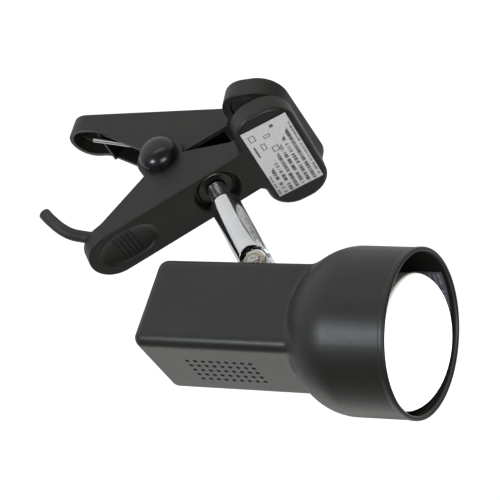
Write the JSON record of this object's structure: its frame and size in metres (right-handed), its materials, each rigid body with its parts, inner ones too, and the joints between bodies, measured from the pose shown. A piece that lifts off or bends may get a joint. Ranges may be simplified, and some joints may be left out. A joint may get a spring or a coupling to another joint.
{
  "type": "clip-on clamp spotlight",
  "caption": "Clip-on clamp spotlight with a swivelling chrome stem, a tilting square lamp can, a round bell shade and a reflector bulb.",
  "frame": {"origin": "centre of the gripping face of the stem arm's jaw pad", "axes": "+Z from that face through the stem arm's jaw, towards the lamp; +X the way the jaws point; +Y along the pivot pin"},
  "size_m": [0.1756, 0.0799, 0.2596],
  "materials": {
    "satin_plastic": "moulded black plastic, fine satin grain",
    "gloss_caps": "polished black plastic",
    "pad_rubber": "matt black rubber",
    "silver_label": null,
    "plated_steel": "zinc-plated steel",
    "dark_steel": "blackened steel",
    "chrome": "bright chrome plate",
    "brass": "bare brass",
    "black_paint": "satin black enamel with a fine orange peel",
    "bakelite": "black phenolic moulding",
    "frosted_glass": "frosted face over a mirrored reflector back",
    "cord_sheath": "smooth dark grey PVC",
    "core_brown": "brown PVC insulation",
    "core_blue": "blue PVC insulation",
    "sleeving": "beige fibre"
  },
  "bodies": {
    "clamp_base": {"stem_arm": "satin_plastic", "stem_arm_pad": "pad_rubber", "rating_label": "silver_label", "pivot_pin": "plated_steel", "pivot_cap_near": "gloss_caps", "pivot_cap_far": "gloss_caps", "torsion_spring": "plated_steel", "threaded_nipple": "plated_steel", "seat_washer": "dark_steel", "seat_locknut": "plated_steel", "power_cord": "cord_sheath", "cord_core_brown": "core_brown", "cord_core_blue": "core_blue", "cord_clamp": "satin_plastic", "cord_clamp_screw_1": "plated_steel", "cord_clamp_screw_2": "plated_steel"},
    "swing_arm": {"plain_arm": "satin_plastic", "plain_arm_pad": "pad_rubber"},
    "swivel_stem": {"stem_tube": "chrome", "lead_sleeve": "sleeving", "stem_lead_brown": "core_brown", "stem_lead_blue": "core_blue"},
    "lamp_head": {"knuckle_base": "chrome", "friction_washer": "sleeving", "knuckle_screw": "plated_steel", "knuckle_nut": "plated_steel", "lamp_housing": "black_paint", "shade_sticker": "silver_label", "lampholder_body": "bakelite", "lampholder_shell": "brass", "lampholder_contact": "brass", "holder_bracket": "plated_steel", "knuckle_locknut": "plated_steel", "bracket_screw_1": "plated_steel", "bracket_screw_2": "plated_steel", "head_lead_brown": "core_brown", "head_lead_blue": "core_blue"},
    "bulb": {"bulb_cap": "brass", "bulb_contact": "brass", "bulb_glass": "frosted_glass", "bulb_mount": "plated_steel"}
  },
  "joints": [
    {"name": "clamp_open", "type": "hinge", "parent": "clamp_base", "child": "swing_arm", "pos_m": [-0.05318, 0, -0.0139], "axis": [0, 1, 0], "range_deg": [0, 45], "stiffness_Nm_per_rad": 1.2, "springref_deg": -29.79, "deforming": ["torsion_spring"]},
    {"name": "stem_swivel", "type": "hinge", "parent": "clamp_base", "child": "swivel_stem", "pos_m": [-0.03391, 0, 0.01253], "axis": [0.1045, 0, 0.9945], "range_deg": [-172.8, 167.2]},
    {"name": "head_tilt", "type": "hinge", "parent": "swivel_stem", "child": "lamp_head", "pos_m": [-0.02793, 0, 0.06942], "axis": [-0.0489, 0.9988, 0.0051], "range_deg": [-20, 69]},
    {"name": "bulb_out", "type": "slide", "parent": "lamp_head", "child": "bulb", "axis": [0.7925, 0.0357, 0.6089], "range_m": [0, 0.11]}
  ]
}
